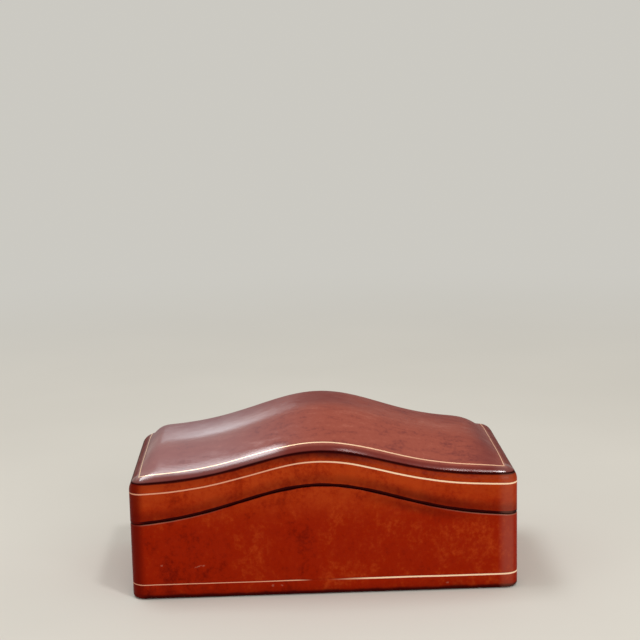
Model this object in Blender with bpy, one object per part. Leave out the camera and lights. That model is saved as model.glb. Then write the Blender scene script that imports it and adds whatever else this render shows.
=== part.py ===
"""A leather box for papers and keepsakes, with a lift-off lid.

A glued wooden carcase is covered in stained leather. The seam between base and lid
and the top edge of the lid both run in a serpentine: low at the ends, high near the
middle. A suede-faced collar stands proud of the base and keeps the lid in its place.
Metres, +Z up; the box stands on z = 0, centred on the origin, its length along X and
its front towards -Y.
"""

import math

import bmesh
import bpy

# The whole box
BOX_LENGTH = 0.280
BOX_DEPTH = 0.140
CORNER_RADIUS = 0.010
LEAST_CORNER_RADIUS = 0.0005

# The serpentine seam and top edge, each with its height at the ends, from the table
# or from the seam, its rise to the crest and its spread
CREST_X = -0.004
SEAM_END_HEIGHT = 0.0546
SEAM_RISE = 0.0267
SEAM_SPREAD = 0.0560
LID_END_HEIGHT = 0.0351
EDGE_RISE = 0.0208
EDGE_SPREAD = 0.0480

# Outside a margin the lid's edge rolls over, as round as the box's corners; the crease
# where top and side leather meet lies on the roll, at this angle from level
CREASE_ANGLE = math.radians(55)

# The cushioned top, fullest a little right of the crest. Its shoulders start on the
# roll, at these insets; they are short at the left, longer at the right and very broad
# at front and back. The power says how near to their foot they are steepest.
CROWN_CREST_X = 0.0145
CROWN_END_HEIGHT = 0.0143
CROWN_CREST_GAIN = 0.0047
CROWN_SPREAD = 0.0390
CROWN_END_START = 0.0050
CROWN_SIDE_START = 0.0018
CROWN_LEFT_SHOULDER = 0.026
CROWN_RIGHT_SHOULDER = 0.044
CROWN_SIDE_SHOULDER = 0.066
SHOULDER_POWER = 5
PADDING_END_MARGIN = 0.0015
PADDING_SIDE_MARGIN = 0.0010
PADDING_CORNER_RADIUS = 0.012
PADDING_SLACK = 0.0006

# Thicknesses
LEATHER_THICKNESS = 0.0020
PARED_THICKNESS = 0.0015
SOLE_THICKNESS = 0.0018
FLOOR_BOARD_THICKNESS = 0.006
LID_WALL_THICKNESS = 0.006
COLLAR_THICKNESS = 0.0020
SUEDE_THICKNESS = 0.0008
LINING_THICKNESS = 0.0006

# Fits: glued faces, the closed seam and the lid sliding over the collar
GLUE_GAP = 0.0003
SEAM_GAP = 0.0003
COLLAR_CLEARANCE = 0.0004
COLLAR_STAND = 0.0075
RIM_ROUNDING = 0.0009
FOOT_ROUNDING = 0.0025
TURN_UNDER_WIDTH = 0.008

# How finely curves are cut
WAVE_STEPS = 20
CORNER_STEPS = 5
ROLL_STEPS = 3
SIDE_ROLL_STEPS = 2
END_SHOULDER_STEPS = 4
SIDE_SHOULDER_STEPS = 8
END_LINES_WIDTH = 0.017
SIDE_LINES_WIDTH = 0.058
LINE_CROWDING = 1.6
RIM_STEPS = 2
FOOT_STEPS = 3
WALL_CORNER_SWEEP = math.radians(75)
SLOPE_SAMPLE_SHARE = 0.001

# Height of the lid's margin at the ends: the lid's side stands on the seam
EDGE_END_HEIGHT = SEAM_END_HEIGHT + LID_END_HEIGHT

# Outer half sizes of base and lid
BOX_HALF = (BOX_LENGTH / 2, BOX_DEPTH / 2)

# Insets from the outside, in the lid
LID_WALL_OUTER = LEATHER_THICKNESS + GLUE_GAP
LID_WALL_INNER = LID_WALL_OUTER + LID_WALL_THICKNESS
LID_LINING_OUTER = LID_WALL_INNER + GLUE_GAP
LID_LINING_INNER = LID_LINING_OUTER + LINING_THICKNESS

# Insets from the outside, in the base: the collar stands inside the lid's lining
COLLAR_OUTER = LID_LINING_INNER + COLLAR_CLEARANCE
COLLAR_INNER = COLLAR_OUTER + COLLAR_THICKNESS
FACING_OUTER = COLLAR_INNER + GLUE_GAP
FACING_INNER = FACING_OUTER + SUEDE_THICKNESS
END_COLLAR_INSET = FACING_INNER + GLUE_GAP
BASE_WALL_OUTER = LEATHER_THICKNESS + GLUE_GAP
BASE_WALL_INNER = COLLAR_OUTER - GLUE_GAP
SOLE_INSET = TURN_UNDER_WIDTH + GLUE_GAP

# Levels from the floor up: the leather turned under the box clears what it stands on
FOOT_BOTTOM = SOLE_THICKNESS - PARED_THICKNESS
FOOT_TOP = FOOT_BOTTOM + PARED_THICKNESS
FLOOR_BOARD_BOTTOM = SOLE_THICKNESS + GLUE_GAP
FLOOR_BOARD_TOP = FLOOR_BOARD_BOTTOM + FLOOR_BOARD_THICKNESS
BASE_WALL_BOTTOM = FLOOR_BOARD_TOP + GLUE_GAP
FLOOR_LINING_BOTTOM = FLOOR_BOARD_TOP + GLUE_GAP
COLLAR_BOTTOM = FLOOR_LINING_BOTTOM + SUEDE_THICKNESS + GLUE_GAP

# Distances from the seam to the leather's turned-over faces and to the walls
RIM_DISTANCE = SEAM_GAP / 2
TURN_IN_DISTANCE = RIM_DISTANCE + LEATHER_THICKNESS
WALL_DISTANCE = TURN_IN_DISTANCE + GLUE_GAP

# Depths below the lid's margin: the top board is as deep as the roll
TOP_BOARD_UPPER = LEATHER_THICKNESS + GLUE_GAP
TOP_BOARD_LOWER = CORNER_RADIUS
TOP_LINING_UPPER = TOP_BOARD_LOWER + GLUE_GAP
TOP_LINING_LOWER = TOP_LINING_UPPER + LINING_THICKNESS

# The side leather's roll starts a gap past the crease; the top board's ends a gap
# above its underside
SIDE_ROLL_START = CREASE_ANGLE + GLUE_GAP / CORNER_RADIUS
BOARD_ROLL_END = math.acos(GLUE_GAP / (CORNER_RADIUS - TOP_BOARD_UPPER))

# Lines across the length where every wavy piece is cut, so that neighbours match
WAVE_HALF = BOX_HALF[0] - CORNER_RADIUS - END_LINES_WIDTH
WAVE_LINES = [WAVE_HALF * (2 * step / WAVE_STEPS - 1) for step in range(WAVE_STEPS + 1)]

# Looks of the materials, as (colour, roughness)
SIDE_LEATHER = ((0.262, 0.016, 0.002), 0.3)
TOP_LEATHER = ((0.190, 0.030, 0.018), 0.3)
SOLE_LEATHER = ((0.020, 0.006, 0.004), 0.6)
LIMEWOOD = ((0.56, 0.40, 0.22), 0.7)
THIN_PLY = ((0.45, 0.33, 0.19), 0.8)
SUEDE = ((0.33, 0.17, 0.08), 0.95)
WADDING = ((0.72, 0.69, 0.62), 1.0)


# Serpentine lines and surfaces

def bell(x, spread, crest=CREST_X):
    return math.exp(-0.5 * ((x - crest) / spread) ** 2)


def seam(x, y=0):
    """Height of the seam between base and lid."""
    return SEAM_END_HEIGHT + SEAM_RISE * bell(x, SEAM_SPREAD)


def edge(x, y=0):
    """Height of the lid's margin, where the roll has come level."""
    return EDGE_END_HEIGHT + EDGE_RISE * bell(x, EDGE_SPREAD)


def shoulder(distance, width):
    """From 0 where the cushion starts to 1 where it has come level."""
    way = min(max(distance / width, 0), 1)
    return 1 - (1 - way) ** SHOULDER_POWER * (1 + SHOULDER_POWER * way)


def crowned_top(x, y):
    """Height of the lid's top, which the padding lifts, but for the roll's drop."""
    lift = CROWN_END_HEIGHT + CROWN_CREST_GAIN * bell(x, CROWN_SPREAD, CROWN_CREST_X)
    end_width = CROWN_LEFT_SHOULDER if x < 0 else CROWN_RIGHT_SHOULDER
    at_end = shoulder(BOX_HALF[0] - CROWN_END_START - abs(x), end_width)
    at_side = shoulder(BOX_HALF[1] - CROWN_SIDE_START - abs(y), CROWN_SIDE_SHOULDER)
    return edge(x) + lift * at_end * at_side


def steepness(surface, x, y=0):
    """Height of a layer that follows the surface, for a thickness of one.

    The slope is taken on the side away from the middle, where the margin is plain.
    """
    step_x = math.copysign(SLOPE_SAMPLE_SHARE * BOX_LENGTH, x)
    step_y = math.copysign(SLOPE_SAMPLE_SHARE * BOX_LENGTH, y)
    slope_x = (surface(x + step_x, y) - surface(x, y)) / step_x
    slope_y = (surface(x, y + step_y) - surface(x, y)) / step_y
    return math.sqrt(1 + slope_x ** 2 + slope_y ** 2)


def above_seam(distance):
    """The line parallel to the seam, that distance above it."""
    return lambda x: seam(x) + distance * steepness(seam, x)


def below_seam(distance):
    """The line parallel to the seam, that distance below it."""
    return above_seam(-distance)


def below_edge(depth):
    """The line parallel to the lid's top edge, that depth below it."""
    return lambda x: edge(x) - depth * steepness(edge, x)


def level(height):
    return lambda x: height


# Plans

def outline(inset):
    """The rounded plan at an inset, cut at the wave lines, as points round the box."""
    half = BOX_HALF
    corner = max(CORNER_RADIUS - inset, LEAST_CORNER_RADIUS)
    points = []
    for quarter, (side_x, side_y) in enumerate([(1, 1), (-1, 1), (-1, -1), (1, -1)]):
        centre_x = side_x * (half[0] - inset - corner)
        centre_y = side_y * (half[1] - inset - corner)
        for step in range(CORNER_STEPS + 1):
            angle = (quarter + step / CORNER_STEPS) * math.pi / 2
            points.append((centre_x + corner * math.cos(angle), centre_y + corner * math.sin(angle)))
        if quarter == 0:
            points += [(x, half[1] - inset) for x in reversed(WAVE_LINES)]
        if quarter == 2:
            points += [(x, inset - half[1]) for x in WAVE_LINES]
    return points


def round_corner(x, y, half, radius):
    """Moves a point of a square grid so that the grid's corners become round.

    Also gives how far the point lies outside the lines where the corners start.
    """
    over_x = abs(x) - (half[0] - radius)
    over_y = abs(y) - (half[1] - radius)
    reach = max(over_x, over_y, 0)
    if over_x > 0 and over_y > 0:
        scale = reach / math.hypot(over_x, over_y)
        x = math.copysign(half[0] - radius + over_x * scale, x)
        y = math.copysign(half[1] - radius + over_y * scale, y)
    return x, y, reach


def on_lid_top(surface, x, y, depth):
    """The point of a layer at a depth below the lid's leather, over its rolled edge."""
    places = []
    for value, half_size in ((x, BOX_HALF[0]), (y, BOX_HALF[1])):
        over = max(abs(value) - (half_size - CORNER_RADIUS), 0)
        places.append(math.copysign(abs(value) - over * depth / CORNER_RADIUS, value))
    half = (BOX_HALF[0] - depth, BOX_HALF[1] - depth)
    roll = CORNER_RADIUS - depth
    x, y, reach = round_corner(*places, half, roll)
    drop = roll - math.sqrt(max(roll ** 2 - reach ** 2, 0))
    return x, y, surface(x, y) - depth * steepness(surface, x, y) - drop


def both_sides(outer, middle=()):
    """The middle lines with the outer ones on each side of them."""
    return [-value for value in reversed(outer)] + list(middle) + list(outer)


def shoulder_lines(half_size, width, steps, crowding):
    """Lines over a width out to the lid's margin, crowded towards it."""
    margin = half_size - CORNER_RADIUS
    return [margin - width * (1 - step / steps) ** crowding for step in range(steps + 1)]


def end_shoulder_lines():
    return shoulder_lines(BOX_HALF[0], END_LINES_WIDTH, END_SHOULDER_STEPS, 1)


def side_shoulder_lines():
    return shoulder_lines(BOX_HALF[1], SIDE_LINES_WIDTH, SIDE_SHOULDER_STEPS, LINE_CROWDING)


def roll_lines(half_size, end_angle):
    """Lines over the lid's rolled edge, from the margin to the end angle."""
    angles = [end_angle * step / ROLL_STEPS for step in range(1, ROLL_STEPS + 1)]
    return [half_size - CORNER_RADIUS * (1 - math.sin(angle)) for angle in angles]


def side_roll(depth):
    """The roll between plumb and the crease, at a depth in the leather.

    Steps of (inset, height line), from plumb up to the crease.
    """
    roll = CORNER_RADIUS - depth
    steps = []
    for step in range(SIDE_ROLL_STEPS + 1):
        angle = math.pi / 2 + (SIDE_ROLL_START - math.pi / 2) * step / SIDE_ROLL_STEPS
        inset = CORNER_RADIUS - roll * math.sin(angle)
        steps.append((inset, below_edge(CORNER_RADIUS - roll * math.cos(angle))))
    return steps


def rounding(radius, steps):
    """Steps over a rounded edge, as (inset, distance short of the edge's face)."""
    places = []
    for step in range(steps + 1):
        angle = math.pi / 2 * step / steps
        places.append((radius * (1 - math.cos(angle)), radius * (1 - math.sin(angle))))
    return places


# Building

def clear_scene():
    for obj in list(bpy.data.objects):
        bpy.data.objects.remove(obj, do_unlink=True)


def make_collection(name):
    collection = bpy.data.collections.new(name)
    bpy.context.scene.collection.children.link(collection)
    return collection


def make_body(name, height):
    """An empty that carries the pieces that move as one."""
    body = bpy.data.objects.new(name, None)
    body.location = (0, 0, height)
    body.empty_display_size = BOX_DEPTH / 2
    box_collection.objects.link(body)
    return body


def make_material(name, colour, roughness):
    material = bpy.data.materials.new(name)
    material.use_nodes = True
    shader = material.node_tree.nodes["Principled BSDF"]
    shader.inputs["Base Color"].default_value = (*colour, 1)
    shader.inputs["Roughness"].default_value = roughness
    shader.inputs["Metallic"].default_value = 0
    material.diffuse_color = (*colour, 1)
    return material


def finish_object(name, bm, look, body):
    """Turns the mesh into the named object, measured from its body's origin."""
    bmesh.ops.recalc_face_normals(bm, faces=bm.faces[:])
    bmesh.ops.translate(bm, vec=-body.location, verts=bm.verts)
    mesh = bpy.data.meshes.new(name)
    bm.to_mesh(mesh)
    bm.free()
    mesh.materials.append(make_material(name + "_finish", *look))
    obj = bpy.data.objects.new(name, mesh)
    box_collection.objects.link(obj)
    obj.parent = body


def add_loft(name, rings, closed, look, body):
    """Joins each ring of points to the next; an open loft gets a face on each end."""
    bm = bmesh.new()
    loops = [[bm.verts.new(point) for point in ring] for ring in rings]
    pairs = list(zip(loops, loops[1:]))
    if closed:
        pairs.append((loops[-1], loops[0]))
    else:
        bm.faces.new(loops[0])
        bm.faces.new(loops[-1])
    for first, second in pairs:
        for place in range(len(first)):
            bm.faces.new((first[place - 1], first[place], second[place], second[place - 1]))
    finish_object(name, bm, look, body)


def add_band(name, profile, look, body):
    """A band round the box, from the (inset, height line) pairs round its section."""
    rings = [[(x, y, line(x)) for x, y in outline(inset)] for inset, line in profile]
    add_loft(name, rings, True, look, body)


def add_sheet(name, x_lines, y_lines, place, look, body):
    """A sheet from a grid; place(x, y, on_top) sets each corner of its two faces."""
    bm = bmesh.new()
    columns = len(x_lines) - 1
    rows = len(y_lines) - 1
    bmesh.ops.create_grid(bm, x_segments=columns, y_segments=rows, size=1)
    for vert in bm.verts:
        column = round((vert.co.x + 1) / 2 * columns)
        row = round((vert.co.y + 1) / 2 * rows)
        vert.co = (x_lines[column], y_lines[row], 0)
    lower = bm.verts[:]
    raised = bmesh.ops.extrude_face_region(bm, geom=bm.faces[:])["geom"]
    upper = [item for item in raised if isinstance(item, bmesh.types.BMVert)]
    for verts, on_top in ((lower, False), (upper, True)):
        for vert in verts:
            vert.co = place(vert.co.x, vert.co.y, on_top)
    finish_object(name, bm, look, body)


def add_plate(name, inset, bottom, thickness, look, body):
    """A flat plate with the box's rounded corners."""
    bm = bmesh.new()
    bmesh.ops.create_cube(bm, size=1)
    upright = [item for item in bm.edges if item.verts[0].co.z * item.verts[1].co.z < 0]
    size = (2 * (BOX_HALF[0] - inset), 2 * (BOX_HALF[1] - inset), thickness)
    bmesh.ops.scale(bm, vec=size, verts=bm.verts)
    bmesh.ops.translate(bm, vec=(0, 0, bottom + thickness / 2), verts=bm.verts)
    corner = max(CORNER_RADIUS - inset, LEAST_CORNER_RADIUS)
    bmesh.ops.bevel(bm, geom=upright, offset=corner, segments=CORNER_STEPS, profile=0.5, affect="EDGES")
    finish_object(name, bm, look, body)


def add_strip(name, along_x, side, runs, section, look, body):
    """A strip along a wall: its section at each place of the run.

    The section is (distance from the middle of the box, height line) pairs. Along x
    it lies at the front (side -1) or back (side 1), otherwise at the left or right.
    """
    rings = []
    for run in runs:
        if along_x:
            rings.append([(run, side * distance, line(run)) for distance, line in section])
        else:
            places = [(side * distance, line) for distance, line in section]
            rings.append([(x, run, line(x)) for x, line in places])
    add_loft(name, rings, False, look, body)


def four_sides(long_inset, end_inset):
    """The four sides, as (word in the name, whether along x, side, places of the run)."""
    along = both_sides([BOX_HALF[0] - long_inset], WAVE_LINES)
    across = both_sides([BOX_HALF[1] - end_inset])
    return [
        ("front", True, -1, along),
        ("back", True, 1, along),
        ("left", False, -1, across),
        ("right", False, 1, across),
    ]


def add_four_strips(name, insets, end_inset, heights, look, body):
    """Flat strips on the four sides; those at the ends fit between the long ones."""
    outer, inner = insets
    bottom, top = heights
    for place, along_x, side, runs in four_sides(outer, end_inset):
        reach = BOX_HALF[1] if along_x else BOX_HALF[0]
        faces = (reach - outer, reach - inner)
        section = [(faces[0], bottom), (faces[1], bottom), (faces[1], top), (faces[0], top)]
        add_strip(name.format(place), along_x, side, runs, section, look, body)


def add_long_wall(name, side, insets, bottom, top, look, body):
    """A wall board along the front or the back, whose outer corners are rounded."""
    outer, inner = insets
    corner = CORNER_RADIUS - outer
    corner_x = BOX_HALF[0] - CORNER_RADIUS
    ends = []
    for step in range(CORNER_STEPS + 1):
        angle = WALL_CORNER_SWEEP * step / CORNER_STEPS
        ends.append((corner_x + corner * math.sin(angle), outer + corner * (1 - math.cos(angle))))
    stations = [(-x, inset) for x, inset in reversed(ends)]
    stations += [(x, outer) for x in WAVE_LINES]
    stations += ends
    rings = []
    for x, inset in stations:
        faces = (side * (BOX_HALF[1] - inset), side * (BOX_HALF[1] - inner))
        rings.append([
            (x, faces[0], bottom(x)),
            (x, faces[1], bottom(x)),
            (x, faces[1], top(x)),
            (x, faces[0], top(x)),
        ])
    add_loft(name, rings, False, look, body)


def add_end_wall(name, side, insets, bottom, top, look, body):
    """A wall board between the long ones; its outer face follows the rounded corners."""
    outer, inner = insets
    reach = BOX_HALF[1] - inner - GLUE_GAP
    start = BOX_HALF[1] - max(CORNER_RADIUS, inner + 2 * GLUE_GAP)
    corner = CORNER_RADIUS - outer
    over = max(reach - (BOX_HALF[1] - CORNER_RADIUS), 0)
    end = outer + corner - math.sqrt(corner ** 2 - over ** 2)
    rings = []
    for y, inset in ((-reach, end), (-start, outer), (start, outer), (reach, end)):
        faces = (side * (BOX_HALF[0] - inset), side * (BOX_HALF[0] - inner))
        rings.append([
            (faces[0], y, bottom(faces[0])),
            (faces[1], y, bottom(faces[1])),
            (faces[1], y, top(faces[1])),
            (faces[0], y, top(faces[0])),
        ])
    add_loft(name, rings, False, look, body)


def add_walls(name, insets, bottom, top, look, body):
    """Four wall boards: the long ones run to the corners, the others fit between them."""
    for place, side in (("front", -1), ("back", 1)):
        add_long_wall(name.format(place), side, insets, bottom, top, look, body)
    for place, side in (("left", -1), ("right", 1)):
        add_end_wall(name.format(place), side, insets, bottom, top, look, body)


# Pieces of the base

def make_base_leather(body):
    """The side leather, turned over the walls' top edge and under the floor board."""
    foot = rounding(FOOT_ROUNDING, FOOT_STEPS)
    rim = rounding(RIM_ROUNDING, RIM_STEPS)
    profile = [(inset, level(FOOT_BOTTOM + short)) for inset, short in reversed(foot)]
    profile += [(inset, below_seam(RIM_DISTANCE + short)) for inset, short in rim]
    profile += [
        (BASE_WALL_INNER, below_seam(RIM_DISTANCE)),
        (BASE_WALL_INNER, below_seam(TURN_IN_DISTANCE)),
        (LEATHER_THICKNESS, below_seam(TURN_IN_DISTANCE)),
        (LEATHER_THICKNESS, level(FOOT_TOP)),
        (TURN_UNDER_WIDTH, level(FOOT_TOP)),
        (TURN_UNDER_WIDTH, level(FOOT_BOTTOM)),
    ]
    add_band("base_side_leather", profile, SIDE_LEATHER, body)


def make_base_floor(body):
    add_plate("base_sole", SOLE_INSET, 0, SOLE_THICKNESS, SOLE_LEATHER, body)
    add_plate(
        "base_floor_board", BASE_WALL_OUTER, FLOOR_BOARD_BOTTOM,
        FLOOR_BOARD_THICKNESS, LIMEWOOD, body,
    )
    add_plate(
        "base_floor_lining", COLLAR_OUTER, FLOOR_LINING_BOTTOM, SUEDE_THICKNESS, SUEDE, body,
    )


def make_base_walls(body):
    insets = (BASE_WALL_OUTER, BASE_WALL_INNER)
    bottom = level(BASE_WALL_BOTTOM)
    add_walls("base_{}_board", insets, bottom, below_seam(WALL_DISTANCE), LIMEWOOD, body)


def make_collar(body):
    """Four thin boards round the inside, standing proud of the rim."""
    insets = (COLLAR_OUTER, COLLAR_INNER)
    heights = (level(COLLAR_BOTTOM), above_seam(COLLAR_STAND - SUEDE_THICKNESS - GLUE_GAP))
    add_four_strips("collar_{}_board", insets, END_COLLAR_INSET, heights, THIN_PLY, body)


def make_collar_facings(body):
    """Suede on the collar's inner faces, turned over its top edge."""
    bottom = level(COLLAR_BOTTOM)
    top = above_seam(COLLAR_STAND)
    cap_bottom = above_seam(COLLAR_STAND - SUEDE_THICKNESS)
    for place, along_x, side, runs in four_sides(COLLAR_OUTER, END_COLLAR_INSET):
        reach = BOX_HALF[1] if along_x else BOX_HALF[0]
        section = [
            (reach - FACING_INNER, bottom),
            (reach - FACING_INNER, top),
            (reach - COLLAR_OUTER, top),
            (reach - COLLAR_OUTER, cap_bottom),
            (reach - FACING_OUTER, cap_bottom),
            (reach - FACING_OUTER, bottom),
        ]
        add_strip(f"collar_{place}_suede", along_x, side, runs, section, SUEDE, body)


# Pieces of the lid

def make_lid_leather(body):
    """The side leather, from the crease on the roll down and in under the walls."""
    rim = rounding(RIM_ROUNDING, RIM_STEPS)
    profile = list(reversed(side_roll(0)))
    profile += [(inset, above_seam(RIM_DISTANCE + short)) for inset, short in rim]
    profile += [
        (LID_LINING_INNER, above_seam(RIM_DISTANCE)),
        (LID_LINING_INNER, above_seam(TURN_IN_DISTANCE)),
        (LEATHER_THICKNESS, above_seam(TURN_IN_DISTANCE)),
    ]
    profile += side_roll(LEATHER_THICKNESS)
    add_band("lid_side_leather", profile, SIDE_LEATHER, body)


def make_lid_walls(body):
    insets = (LID_WALL_OUTER, LID_WALL_INNER)
    top = below_edge(TOP_BOARD_LOWER + GLUE_GAP)
    add_walls("lid_{}_board", insets, above_seam(WALL_DISTANCE), top, LIMEWOOD, body)


def make_top_board(body):
    """The serpentine board that closes the lid, with rounded edges."""
    def place(x, y, on_top):
        x, y, height = on_lid_top(edge, x, y, TOP_BOARD_UPPER)
        return x, y, height if on_top else below_edge(TOP_BOARD_LOWER)(x)

    x_rolls = roll_lines(BOX_HALF[0], BOARD_ROLL_END)
    x_lines = both_sides(end_shoulder_lines()[1:] + x_rolls, WAVE_LINES)
    y_rolls = roll_lines(BOX_HALF[1], BOARD_ROLL_END)
    y_lines = both_sides(side_shoulder_lines()[-1:] + y_rolls)
    add_sheet("lid_top_board", x_lines, y_lines, place, LIMEWOOD, body)


def make_padding(body):
    """The domed wadding between the top board and the top leather."""
    half = (
        BOX_HALF[0] - CORNER_RADIUS - PADDING_END_MARGIN,
        BOX_HALF[1] - CORNER_RADIUS - PADDING_SIDE_MARGIN,
    )
    depth = LEATHER_THICKNESS + PADDING_SLACK
    bottom = below_edge(TOP_BOARD_UPPER - GLUE_GAP)

    def place(x, y, on_top):
        x, y, _ = round_corner(x, y, half, PADDING_CORNER_RADIUS)
        top = crowned_top(x, y) - depth * steepness(crowned_top, x, y)
        return x, y, top if on_top else bottom(x)

    x_lines = both_sides(end_shoulder_lines()[1:-1] + [half[0]], WAVE_LINES)
    y_lines = both_sides(side_shoulder_lines()[:-1] + [half[1]])
    add_sheet("lid_top_padding", x_lines, y_lines, place, WADDING, body)


def make_top_leather(body):
    """The top leather, crowned over the padding and rolled over the edge."""
    def place(x, y, on_top):
        return on_lid_top(crowned_top, x, y, 0 if on_top else LEATHER_THICKNESS)

    x_rolls = roll_lines(BOX_HALF[0], CREASE_ANGLE)
    x_lines = both_sides(end_shoulder_lines()[1:] + x_rolls, WAVE_LINES)
    y_rolls = roll_lines(BOX_HALF[1], CREASE_ANGLE)
    y_lines = both_sides(side_shoulder_lines() + y_rolls)
    add_sheet("lid_top_leather", x_lines, y_lines, place, TOP_LEATHER, body)


def make_lid_linings(body):
    """Thin suede under the top board and on the walls below it."""
    half = (BOX_HALF[0] - LID_LINING_OUTER, BOX_HALF[1] - LID_LINING_OUTER)
    upper = below_edge(TOP_LINING_UPPER)
    lower = below_edge(TOP_LINING_LOWER)

    def place(x, y, on_top):
        return x, y, upper(x) if on_top else lower(x)

    x_lines = both_sides([half[0]], WAVE_LINES)
    add_sheet("lid_top_lining", x_lines, both_sides([half[1]]), place, SUEDE, body)
    insets = (LID_LINING_OUTER, LID_LINING_INNER)
    end_inset = LID_LINING_INNER + GLUE_GAP
    heights = (above_seam(TURN_IN_DISTANCE + GLUE_GAP), below_edge(TOP_LINING_LOWER + GLUE_GAP))
    add_four_strips("lid_{}_lining", insets, end_inset, heights, SUEDE, body)


def make_base():
    base = make_body("base", 0)
    make_base_floor(base)
    make_base_leather(base)
    make_base_walls(base)
    make_collar(base)
    make_collar_facings(base)


def make_lid():
    lid = make_body("lid", SEAM_END_HEIGHT)
    make_lid_leather(lid)
    make_lid_walls(lid)
    make_top_board(lid)
    make_padding(lid)
    make_top_leather(lid)
    make_lid_linings(lid)


clear_scene()
box_collection = make_collection("leather_box")
make_base()
make_lid()
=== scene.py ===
"""A leather box for papers and keepsakes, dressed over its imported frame.

The box is a wooden carcase covered in stained and polished leather. The seam between
base and lid and the lid's top edge run in a serpentine, the top is cushioned, and
single gilt lines follow the edges. Metres, +Z up, the front towards -Y.
"""

import math
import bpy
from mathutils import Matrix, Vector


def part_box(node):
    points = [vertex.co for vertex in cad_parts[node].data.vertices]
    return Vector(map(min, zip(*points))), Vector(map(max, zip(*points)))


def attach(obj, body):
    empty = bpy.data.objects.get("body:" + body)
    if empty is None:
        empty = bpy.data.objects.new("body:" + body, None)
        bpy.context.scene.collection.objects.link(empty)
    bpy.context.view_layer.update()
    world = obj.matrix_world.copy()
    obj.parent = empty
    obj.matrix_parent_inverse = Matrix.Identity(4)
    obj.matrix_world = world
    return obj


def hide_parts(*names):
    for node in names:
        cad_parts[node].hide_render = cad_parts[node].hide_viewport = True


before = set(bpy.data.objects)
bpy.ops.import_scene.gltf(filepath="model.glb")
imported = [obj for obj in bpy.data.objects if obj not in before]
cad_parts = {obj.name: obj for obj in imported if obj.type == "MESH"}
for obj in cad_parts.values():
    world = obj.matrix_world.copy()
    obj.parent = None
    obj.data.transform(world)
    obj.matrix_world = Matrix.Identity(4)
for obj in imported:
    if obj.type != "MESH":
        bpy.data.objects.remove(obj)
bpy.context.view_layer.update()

from types import SimpleNamespace

import bmesh
import bpy
from bpy.props import FloatProperty, FloatVectorProperty, IntProperty, PointerProperty
from mathutils import Matrix, Vector

bl_info = {
    "name": "Leather Box",
    "version": (1, 0, 0),
    "blender": (4, 5, 0),
    "location": "3D View > Sidebar > Leather Box",
    "description": "Builds a leather-covered box with a serpentine seam and a cushioned lid",
    "category": "Add Mesh",
}

BOX_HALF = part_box("base_side_leather")[1]

# How far two places may lie apart and still count as one, and the least divisor
NEAR = 1e-5
TINY = 1e-9

# From this height on the base follows the seam, wholly so from a margin under it; the
# lid follows it up to the same margin above
FOOT_LEVEL = 0.012
SEAM_MARGIN = 0.004

# How far the collar stands above the seam, and where the lid's linings start above it
COLLAR_STAND = 0.0075
LINING_START = 0.0026
LINING_PLAY = 0.0002

# The wadding: its drop under the lid's margin, its corners, its edge and its play
WADDING_DROP = 0.002
WADDING_CORNER = 0.012
WADDING_EDGE = 0.0001
WADDING_PLAY = 0.0016

# How far edges are softened
LEATHER_EDGE = 0.0004
LINING_EDGE = 0.0002
FACING_EDGE = 0.00025
EDGE_ANGLE = math.radians(50)
LEAST_CORNER = 0.0005

# How finely curves are cut
FOOT_STEPS = 5
RIM_STEPS = 4
CREASE_STEPS = 7
ROLL_STEPS = 8
FACING_CUTS = 39
LINING_CUTS = 59


# Settings

def length(name, description, value):
    return FloatProperty(
        name=name, description=description, default=value, precision=4, unit="LENGTH"
    )


def colour(name, description, value):
    return FloatVectorProperty(
        name=name, description=description, default=value, size=3, min=0, max=1, subtype="COLOR"
    )


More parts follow.
